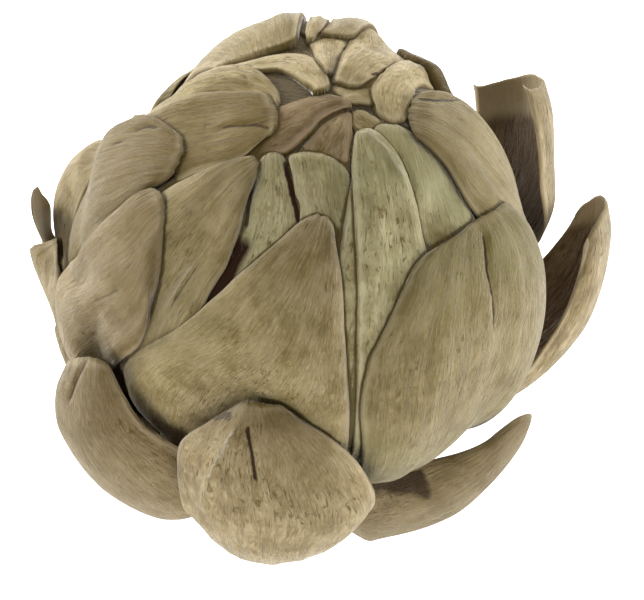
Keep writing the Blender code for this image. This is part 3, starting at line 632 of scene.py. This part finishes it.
# Small bracts that show behind the left side
smallBracts = [
    dict(node="bract_left_behind", look="olive", insideShare=0.12, root=172,
        left=[(-66, 0), (-58, 3), (-52, 8)], right=[(-62, 30), (-54, 26), (-48, 20)], tip=(-49.6, 14.6),
        thick=1.0, open=-1.3,
        stand=[(0, 30, 30, 30), (0.5, 34.4, 35, 34.2), (0.8, 34.6, 35, 34.2), (1, 33.6, 34.2, 33.6)]),
    dict(node="bract_left_spike", lightFrom=-1.0, insideShare=0.12, root=176,
        left=[(-70, 0), (-64, 1), (-59, 2.4)], right=[(-68, 14), (-63, 12), (-58.8, 8.2)], tip=(-56.4, 4.6),
        thick=1.0, stand=[(0, 30, 30, 30), (0.7, 36, 38, 36), (1, 41, 41.5, 41)]),
    dict(node="bract_left_edge", insideShare=0.12, root=190,
        left=[(-74, -30), (-69, -22), (-63, -12)], right=[(-76, 0), (-69, 1), (-62.4, -1)], tip=(-60, -5),
        thick=1.0, open=-1.3, stand=[(0, 30, 30, 30), (0.6, 35, 35.6, 35), (1, 36, 36.4, 36)]),
    dict(node="bract_left_low_tip", insideShare=0.12, root=204,
        left=[(-74, -40), (-71, -34), (-66.6, -28)], right=[(-78, -18), (-72, -17), (-66.6, -18)],
        tip=(-64, -23), thick=0.9, open=-1.3,
        stand=[(0, 30, 30, 30), (0.6, 34.8, 35.4, 34.8), (1, 35, 35.4, 35)]),
]

# The rows round the back: distance of the tips on the map, directions round the stem, half width, thickness
backRows = [
    {"tip": 46.0, "directions": (70, 104, 138), "halfWidth": 16.0, "thick": 1.7},
    {"tip": 55.0, "directions": (56, 89, 123, 153), "halfWidth": 19.0, "thick": 1.9},
    {"tip": 68.0, "directions": (44, 75, 107, 139), "halfWidth": 19.0, "thick": 2.1},
]
backSeed = 7


def backBracts():
    chance = random.Random(backSeed)
    made = []
    for row in backRows:
        for direction in row["directions"]:
            turn = math.radians(direction + chance.uniform(-3, 3))
            tip = row["tip"] + chance.uniform(-2, 2)
            half = row["halfWidth"] * chance.uniform(0.92, 1.08)
            out = np.array([math.cos(turn), math.sin(turn)])
            side = np.array([-out[1], out[0]])
            edge = [(max(tip + 14, 80.0), 1.2), (tip + 10, 0.92), (tip + 4, 0.45)]
            made.append(dict(
                node=f"bract_back_{len(made) + 1:02d}", root=direction,
                look=("olive", "tan", "greenish")[len(made) % 3], thick=row["thick"],
                left=[tuple(out * far + side * half * share) for far, share in edge],
                right=[tuple(out * far - side * half * share) for far, share in edge],
                tip=tuple(out * tip), open=chance.uniform(0.1, 0.8)))
    return made


# The finishes: colours of the skin, with the dark inner one also used as painted shade, and how much of each
# mark a bract carries
looks = {
    "olive": dict(
        base=(0.310, 0.232, 0.098), light=(0.540, 0.440, 0.265), dark=(0.125, 0.084, 0.022),
        green=(0.295, 0.265, 0.112), greenShare=0.30, specks=0.80, marginStain=0.80),
    "tan": dict(
        base=(0.305, 0.226, 0.104), light=(0.560, 0.455, 0.290), dark=(0.130, 0.086, 0.030),
        green=(0.290, 0.252, 0.112), greenShare=0.15, specks=0.85, marginStain=0.85),
    "greenish": dict(
        base=(0.285, 0.222, 0.094), light=(0.490, 0.415, 0.245), dark=(0.115, 0.084, 0.024),
        green=(0.265, 0.256, 0.104), greenShare=0.50, specks=0.75, marginStain=0.75),
    "green": dict(
        base=(0.405, 0.338, 0.168), light=(0.610, 0.550, 0.350), dark=(0.160, 0.122, 0.040),
        green=(0.385, 0.385, 0.200), greenShare=0.60, specks=0.75, marginStain=0.75),
    "top": dict(
        base=(0.320, 0.246, 0.112), light=(0.540, 0.445, 0.275), dark=(0.125, 0.086, 0.025),
        green=(0.305, 0.275, 0.122), greenShare=0.30, specks=0.80, marginStain=0.90),
    "crown": dict(
        base=(0.255, 0.172, 0.086), light=(0.450, 0.340, 0.215), dark=(0.095, 0.056, 0.020),
        green=(0.250, 0.225, 0.100), greenShare=0.25, specks=0.85, marginStain=0.90),
    # dark inner look, also used as painted shade on the heart and on a back bract in shadow
    "inner": dict(
        base=(0.080, 0.056, 0.026), light=(0.150, 0.112, 0.056), dark=(0.030, 0.020, 0.009),
        green=(0.080, 0.065, 0.030), greenShare=0.20, specks=0.60, marginStain=0.60),
}
sharedLook = {
    "stain": (0.026, 0.009, 0.004),       # dark red-brown of cracks, and of painted shadows drawn like cracks
    "spot": (0.120, 0.080, 0.012),        # mustard brown of specks, tips and nicks
    "deep": (0.070, 0.045, 0.008),        # olive painted shade in a crevice
    "inside": (0.070, 0.034, 0.022),      # the purple-brown inner face of an open bract
    "insideLight": (0.150, 0.095, 0.055),
    "bloom": (0.700, 0.660, 0.560),       # painted highlight on ridges and folds
    "roughness": (0.50, 0.78),
    "gloss": {
        "Specular IOR Level": 0.16, "Specular Tint": (1.0, 0.88, 0.66, 1.0),
        "Sheen Weight": 0.72, "Sheen Roughness": 0.18, "Sheen Tint": (1.0, 0.96, 0.86, 1.0),
    },
    "margin": (0.55, 0.08),               # millimetres from a margin where its brown starts and is full
    "rim": (1.7, 0.8, 0.0, 0.42),         # the same for the pale rim, a painted highlight along the margins, with its strength
    "crevice": (0.24, 0.50),              # how covered the skin is where dirt starts and is full
    "deepCrevice": (0.38, 0.50, 0.0, 0.80),
    "insideFrom": (0.0, 8.0, 0.20, 0.92),
    "bump": 0.00034,
    "bend": 5.0,                          # millimetres that the fibres wander sideways
}
# Noise along the fibres: how fine across, how fine along, roughness and a shift of its own
fibreNoise = {
    "bending": (0.30, 0.12, 0.55, 5),
    "broad": (0.30, 0.045, 0.60, 0),
    "lines": (1.5, 0.14, 0.60, 11),
    "hairs": (3.3, 0.60, 0.65, 23),
    "flecks": (1.3, 0.50, 0.60, 37),
}
# Noise in space: scale, detail and roughness
spaceNoise = {
    "mottle": (240.0, 3.0, 0.60),
    "clouds": (75.0, 3.0, 0.55),
    "patches": (34.0, 2.0, 0.50),
    "clusters": (95.0, 2.0, 0.50),
    "crumbs": (900.0, 2.0, 0.60),
}
# The skin's tones, one step on another: which noise, from and to, how much at most, towards which tone
toneSteps = [
    ("broad", 0.34, 0.66, 0.32, "light"),
    ("lines", 0.50, 0.66, 0.26, "light"),
    ("lines", 0.50, 0.34, 0.26, "dark"),
    ("hairs", 0.50, 0.38, 0.50, "dark"),
    ("hairs", 0.52, 0.64, 0.48, "light"),
    ("mottle", 0.50, 0.64, 0.44, "dark"),
    ("mottle", 0.50, 0.36, 0.30, "light"),
]
# Height of each noise in the bump
bumpHeights = {"lines": 0.6, "hairs": 0.45, "crumbs": 0.12, "mottle": 0.30, "broad": 0.9}


class Nodes:
    # a short hand for building one material's nodes
    def __init__(self, name):
        self.material = bpy.data.materials.new(name)
        self.material.use_nodes = True
        self.tree = self.material.node_tree
        self.shader = self.tree.nodes["Principled BSDF"]

    def add(self, kind, settings=None, **sockets):
        node = self.tree.nodes.new(kind)
        for key, value in (settings or {}).items():
            setattr(node, key, value)
        for key, value in sockets.items():
            self.give(node.inputs[key.replace("_", " ")], value)
        return node

    def give(self, socket, value):
        if isinstance(value, bpy.types.NodeSocket):
            self.tree.links.new(value, socket)
        else:
            socket.default_value = value

    def noise(self, vector, scale, detail=2.0, roughness=0.5):
        node = self.add("ShaderNodeTexNoise", Vector=vector, Scale=scale, Detail=detail, Roughness=roughness)
        return node.outputs["Fac"]

    def ramp(self, value, low, high, bottom=0.0, top=1.0):
        node = self.add("ShaderNodeMapRange", {"clamp": True}, Value=value)
        for key, number in (("From Min", low), ("From Max", high), ("To Min", bottom), ("To Max", top)):
            node.inputs[key].default_value = number
        return node.outputs["Result"]

    def calc(self, operation, first, second=0.0):
        node = self.add("ShaderNodeMath", {"operation": operation})
        self.give(node.inputs[0], first)
        self.give(node.inputs[1], second)
        return node.outputs[0]

    def times(self, first, second):
        return self.calc("MULTIPLY", first, second)

    def plus(self, first, second):
        return self.calc("ADD", first, second)

    def mix(self, share, first, second):
        node = self.add("ShaderNodeMix", {"data_type": "RGBA"})
        self.give(node.inputs["Factor"], share)
        for socket, value in ((node.inputs[6], first), (node.inputs[7], second)):
            self.give(socket, (*value, 1.0) if isinstance(value, tuple) else value)
        return node.outputs[2]

    def attribute(self, title):
        vector = self.add("ShaderNodeAttribute", {"attribute_name": title}).outputs["Vector"]
        return self.add("ShaderNodeSeparateXYZ", Vector=vector).outputs

    def stretched(self, vector, across, along, shift=0.0):
        node = self.add("ShaderNodeMapping", Vector=vector)
        node.inputs["Scale"].default_value = (across, along, 1.0)
        node.inputs["Location"].default_value = (shift, shift * 0.7, 0.0)
        return node.outputs["Vector"]


def skinFinish(name, look, shift):
    # fibres, blotches, specks, brown margins and stains, painted crevice shade, painted highlights on rims and
    # ridges, painted light on inner faces and painted shade of whole bracts
    n = Nodes(name)
    covered, fromMargin, tip = n.attribute("wear")
    inside, stainsAndPaintedLight, shade = n.attribute("notes")
    lineSide, lineShare, lineWide = n.attribute("lines")
    space = n.add("ShaderNodeTexCoord").outputs["Object"]
    noise = {key: n.noise(space, *settings) for key, settings in spaceNoise.items()}
    fibre = n.add("ShaderNodeUVMap", {"uv_map": "fibre"}).outputs["UV"]
    for key, (across, along, roughness, own) in fibreNoise.items():
        noise[key] = n.noise(n.stretched(fibre, across, along, shift + own), 1.0, 3.0, roughness)
        if key == "bending":    # the others follow fibres that are bent by this one
            aside = n.times(n.calc("SUBTRACT", noise[key], 0.5), sharedLook["bend"])
            bent = n.add("ShaderNodeVectorMath", {"operation": "ADD"})
            n.give(bent.inputs[0], fibre)
            n.give(bent.inputs[1], n.add("ShaderNodeCombineXYZ", X=aside).outputs["Vector"])
            fibre = bent.outputs["Vector"]

    # a line is drawn where its signed distance passes zero, a margin and the painted crevice shade where their
    # fields rise
    wander = n.calc("SUBTRACT", noise["mottle"], 0.5)
    offLine = n.calc("ABSOLUTE", n.plus(lineSide, n.times(wander, 1.1)))
    line = n.calc("SUBTRACT", 1.0, n.calc("DIVIDE", offLine, n.calc("MAXIMUM", lineWide, 0.05)))
    line = n.ramp(line, 0.0, 0.45)
    crack = n.times(line, n.calc("MAXIMUM", lineShare, 0.0))
    paintedRidgeHighlight = n.times(line, n.calc("MAXIMUM", n.times(lineShare, -1.0), 0.0))
    wornMargin = n.plus(fromMargin, n.times(wander, 1.2))
    margin = n.ramp(wornMargin, *sharedLook["margin"])
    rim = n.ramp(wornMargin, *sharedLook["rim"])
    crevice = n.ramp(n.plus(covered, n.times(wander, 0.25)), *sharedLook["crevice"])
    deepCrevice = n.ramp(covered, *sharedLook["deepCrevice"])

    color = look["base"]
    for key, low, high, most, tone in toneSteps:
        color = n.mix(n.ramp(noise[key], low, high, 0.0, most), color, look[tone])
    color = n.mix(n.times(n.ramp(noise["patches"], 0.42, 0.62), look["greenShare"]), color, look["green"])
    color = n.mix(n.ramp(noise["clouds"], 0.55, 0.72, 0.0, 0.30), color, look["dark"])
    # whole bracts darkened, partly for their browner tone and partly as painted shade where they lie away from
    # the light
    color = n.mix(shade, color, look["dark"])
    fleck = n.times(n.ramp(noise["flecks"], 0.575, 0.635), n.ramp(noise["clusters"], 0.44, 0.58, 0.20, 1.0))
    color = n.mix(n.times(fleck, look["specks"]), color, sharedLook["spot"])
    # painted highlight along ridges and folds
    color = n.mix(paintedRidgeHighlight, color, sharedLook["bloom"])
    # painted highlight: a pale rim along the margins
    color = n.mix(rim, color, look["light"])
    edgeStain = n.times(margin, n.ramp(noise["clouds"], 0.40, 0.60, 0.05, 1.0))
    color = n.mix(n.times(edgeStain, look["marginStain"]), color, sharedLook["spot"])
    color = n.mix(n.times(tip, n.ramp(noise["patches"], 0.35, 0.65, 0.10, 0.55)), color, sharedLook["spot"])
    insideColor = n.mix(n.ramp(noise["lines"], 0.40, 0.62), sharedLook["inside"], sharedLook["insideLight"])
    color = n.mix(n.times(inside, n.ramp(fromMargin, *sharedLook["insideFrom"])), color, insideColor)
    blotted = n.times(n.calc("MAXIMUM", stainsAndPaintedLight, 0.0), n.ramp(noise["mottle"], 0.35, 0.60, 0.35, 1.0))
    color = n.mix(blotted, color, sharedLook["spot"])
    # painted light on the lit parts of inner faces
    color = n.mix(n.calc("MAXIMUM", n.times(stainsAndPaintedLight, -1.0), 0.0), color, look["light"])
    # painted crevice shade beside the margins of bracts that lie close over this one
    patchyCreviceShade = n.times(crevice, n.ramp(noise["clouds"], 0.35, 0.65, 0.10, 0.40))
    color = n.mix(patchyCreviceShade, color, sharedLook["deep"])
    color = n.mix(deepCrevice, color, sharedLook["deep"])
    color = n.mix(crack, color, sharedLook["stain"])

    height = n.times(n.plus(n.times(fleck, 0.30), n.times(crack, 0.25)), -1.0)
    for key, high in bumpHeights.items():
        height = n.plus(height, n.times(noise[key], high))
    bump = n.add("ShaderNodeBump", Height=height, Strength=0.9, Distance=sharedLook["bump"])
    smooth, rough = sharedLook["roughness"]
    n.give(n.shader.inputs["Base Color"], color)
    n.give(n.shader.inputs["Roughness"], n.ramp(noise["lines"], 0.35, 0.65, rough, smooth))
    n.give(n.shader.inputs["Normal"], bump.outputs["Normal"])
    for key, value in sharedLook["gloss"].items():
        n.shader.inputs[key].default_value = value
    return n.material


def stemFinish():
    n = Nodes("cutStem")
    space = n.add("ShaderNodeTexCoord").outputs["Object"]
    threads = n.noise(n.stretched(space, 1.0, 1.0), 420.0, 3.0, 0.6)
    rings = n.noise(space, 130.0, 3.0, 0.55)
    color = n.mix(n.ramp(threads, 0.35, 0.65), (0.330, 0.255, 0.130), (0.470, 0.385, 0.225))
    color = n.mix(n.ramp(rings, 0.52, 0.68, 0.0, 0.7), color, (0.120, 0.070, 0.035))
    bump = n.add("ShaderNodeBump", Height=n.plus(threads, rings), Strength=0.8, Distance=0.0006)
    n.give(n.shader.inputs["Base Color"], color)
    n.give(n.shader.inputs["Normal"], bump.outputs["Normal"])
    n.shader.inputs["Roughness"].default_value = 0.8
    return n.material


def settle(piece, node):
    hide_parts(node)
    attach(piece, "root")


def shownName(node):
    # bract_low_left is shown by bractLowLeft
    first, *others = node.split("_")
    return first + "".join(word.capitalize() for word in others)


# The groups in the order of laying: kind, the look of a bract that names none, and the slot
groups = [
    (budBracts, "bud", "top", "bud_green"),
    (backBracts(), "back", "olive", "bract_olive"),
    (outerBracts, "outer", "olive", "bract_olive"),
    (smallBracts, "small", "tan", "bract_olive"),
    (looseBracts, "outer", "tan", "bract_tan"),
]
firstSeed, seedStep = 113, 13
bracts = []
for group, kind, usualLook, slot in groups:
    for bract in group:
        told = {"node": "bud", "look": usualLook, **bract, "kind": kind, "slot": slot}
        told["seed"] = firstSeed + seedStep * len(bracts)
        told.setdefault("name", shownName(told["node"]))
        told["ragged"] = thinBract["ragged"]["bud" if kind == "bud" else "outer"]
        bracts.append(told)

# Laying up the head
cells = int(2 * layUp["half"] / layUp["cell"]) + 1
axis = np.linspace(-layUp["half"], layUp["half"], cells)
mapX, mapY = np.meshgrid(axis, axis, indexing="ij")


def layHead(skin, thin):
    # every bract in turn, on a copy of the given skin
    skin = skin.copy()
    forms = []
    for bract in bracts:
        if bract["kind"] != "bud":
            bract = rooted(bract, layUp["smallRootDistance" if bract["kind"] == "small" else "rootDistance"])
        form = formOf(bract, skin, thin)
        layOn(skin, form)
        forms.append(form)
    return skin, forms


core = coreRadius(mapX, mapY)
stoutSkin, _ = layHead(core, False)
makeUp = np.zeros_like(core)
for _ in range(2):
    thinSkin, _ = layHead(core + makeUp, True)
    makeUp = makeUp + soften(stoutSkin - thinSkin, thinBract["evenOut"])
skin, forms = layHead(core + makeUp, True)
print("artichoke: bracts laid,", len(forms))

finishes = {}
for key, look in looks.items():
    finishes[key] = skinFinish(key + "Skin", look, 17.0 * len(finishes))
# painted crevice shade: each bract is darkened where the bracts laid over it lie close
covered = np.zeros_like(skin)
for bract, form in zip(reversed(bracts), reversed(forms)):
    piece = leafMesh(bract["name"], form, soften(covered, thinBract["crevice"]))
    if bract["kind"] != "small":
        markCovered(covered, form)
    piece.data.materials.append(finishes[bract["look"]])
    settle(piece, bract["node"])
print("artichoke: bracts built")


def heartPiece():
    # the solid heart, painted dark as shade, that shows only at the bottom of the deepest gaps
    rings, turns = 90, 144
    polar = np.linspace(0, math.pi, rings + 1)[1:-1]
    around = np.linspace(0, 2 * math.pi, turns, endpoint=False)
    distance = polar[:, None] * head["mapScale"]
    places = np.stack([distance * np.cos(around), distance * np.sin(around)], axis=-1)
    points = placeOnHead(places, readField(core + makeUp, places) - 0.05).reshape(-1, 3)
    top = placeOnHead(np.array([[0.0, 0.0]]), np.array([head["radius"][0]]))
    bottom = np.array([[0, 0, (head["centreHeight"] - head["radius"][-1]) * mm]])
    index = np.arange(len(points)).reshape(len(polar), turns)
    ahead = np.roll(index, -1, axis=1)
    faces = np.stack([index[:-1], index[1:], ahead[1:], ahead[:-1]], axis=-1).reshape(-1, 4).tolist()
    topPoint, bottomPoint = len(points), len(points) + 1
    faces += [[topPoint, int(a), int(b)] for a, b in zip(index[0], ahead[0])]
    faces += [[bottomPoint, int(b), int(a)] for a, b in zip(index[-1], ahead[-1])]
    mesh = bpy.data.meshes.new("heart")
    mesh.from_pydata(np.concatenate([points, top, bottom]), [], faces)
    mesh.update()
    fibre = np.stack(np.meshgrid(30 * around, distance), axis=-1).reshape(-1, 2)
    layFibres(mesh, np.concatenate([fibre, [[0.0, 0.0], [0.0, 110.0]]]))
    for title in ("wear", "notes", "lines"):
        mesh.attributes.new(title, "FLOAT_VECTOR", "POINT")
    mesh.attributes["wear"].data.foreach_set("vector", np.tile([0.0, 6.0, 0.0], len(points) + 2))
    mesh.shade_smooth()
    piece = bpy.data.objects.new("heart", mesh)
    bpy.context.scene.collection.objects.link(piece)
    return piece


heart = heartPiece()
heart.data.materials.append(finishes["inner"])
settle(heart, "bud")

stemLook = stemFinish()
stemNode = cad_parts["stem"]
stemNode.data.materials.clear()
stemNode.data.materials.append(stemLook)
print("artichoke: heart and stem done")

# The studio: a pale floor, a pale room and two broad lamps
studio = {
    "floor": (0.90, 0.90, 0.90),
    "floorGlow": 1.40,          # a light table under the object
    "room": 0.34,
    "lamps": [   # name, place in metres, size, watts
        ("lampLeft", (-0.74, 0.40, 0.10), 0.45, 11.0),
        ("lampRight", (0.78, 0.28, 0.10), 0.45, 6.8),
        ("lampBack", (-0.1, 0.75, 0.50), 0.5, 3.2),
        ("lampTop", (0.0, -0.05, 0.90), 0.4, 2.6),
    ],
}


def makeStudio():
    mesh = bpy.data.meshes.new("floor")
    mesh.from_pydata([(x, y, 0) for x, y in ((-3, -3), (3, -3), (3, 3), (-3, 3))], [], [(0, 1, 2, 3)])
    floor = bpy.data.objects.new("floor", mesh)
    bpy.context.scene.collection.objects.link(floor)
    n = Nodes("paleFloor")
    n.shader.inputs["Base Color"].default_value = (*studio["floor"], 1.0)
    n.shader.inputs["Roughness"].default_value = 0.9
    n.shader.inputs["Emission Color"].default_value = (1.0, 1.0, 1.0, 1.0)
    n.shader.inputs["Emission Strength"].default_value = studio["floorGlow"]
    mesh.materials.append(n.material)
    floor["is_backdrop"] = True
    world = bpy.data.worlds.new("room")
    world.use_nodes = True
    world.node_tree.nodes["Background"].inputs["Color"].default_value = (1.0, 1.0, 1.0, 1.0)
    world.node_tree.nodes["Background"].inputs["Strength"].default_value = studio["room"]
    bpy.context.scene.world = world
    aim = Vector((0, 0, head["centreHeight"] * mm))
    for name, place, size, watts in studio["lamps"]:
        light = bpy.data.lights.new(name, "AREA")
        light.shape = "DISK"
        light.size = size
        light.energy = watts
        lamp = bpy.data.objects.new(name, light)
        lamp.location = place
        lamp.rotation_euler = (Vector(place) - aim).to_track_quat("Z", "Y").to_euler()
        bpy.context.scene.collection.objects.link(lamp)
    bpy.context.scene.view_settings.view_transform = "Standard"


# The camera looks down from in front, rolled a little
shot = {
    "elevation": 49.0, "roll": 12.0, "distance": 0.8, "picture": (644, 600), "pixelsPerMm": 6.93,
    "headInPicture": (309, 266),    # where the middle of the head falls
}


def makeCamera():
    high, roll = math.radians(shot["elevation"]), math.radians(shot["roll"])
    upright = Vector((0, math.sin(high), math.cos(high)))
    forward = Vector((0, math.cos(high), -math.sin(high)))
    right = math.cos(roll) * Vector((1, 0, 0)) + math.sin(roll) * upright
    up = -math.sin(roll) * Vector((1, 0, 0)) + math.cos(roll) * upright
    camera = bpy.data.objects.new("camera", bpy.data.cameras.new("camera"))
    bpy.context.scene.collection.objects.link(camera)
    turned = Matrix((right, up, -forward)).transposed().to_4x4()
    place = Vector((0, 0, head["centreHeight"] * mm)) - forward * shot["distance"]
    camera.matrix_world = Matrix.Translation(place) @ turned
    wide, tall = shot["picture"]
    camera.data.sensor_width = 36
    camera.data.lens = 36 * shot["distance"] / mm / (wide / shot["pixelsPerMm"])
    camera.data.clip_start = 0.05
    camera.data.shift_x = (wide / 2 - shot["headInPicture"][0]) / wide
    camera.data.shift_y = -(tall / 2 - shot["headInPicture"][1]) / wide
    bpy.context.scene.camera = camera


makeStudio()
makeCamera()
print("artichoke: studio and camera ready")

bpy.context.view_layer.update()
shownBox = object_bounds()
{"cad": [list(corner) for corner in solidBox], "visual": [list(corner) for corner in shownBox]}
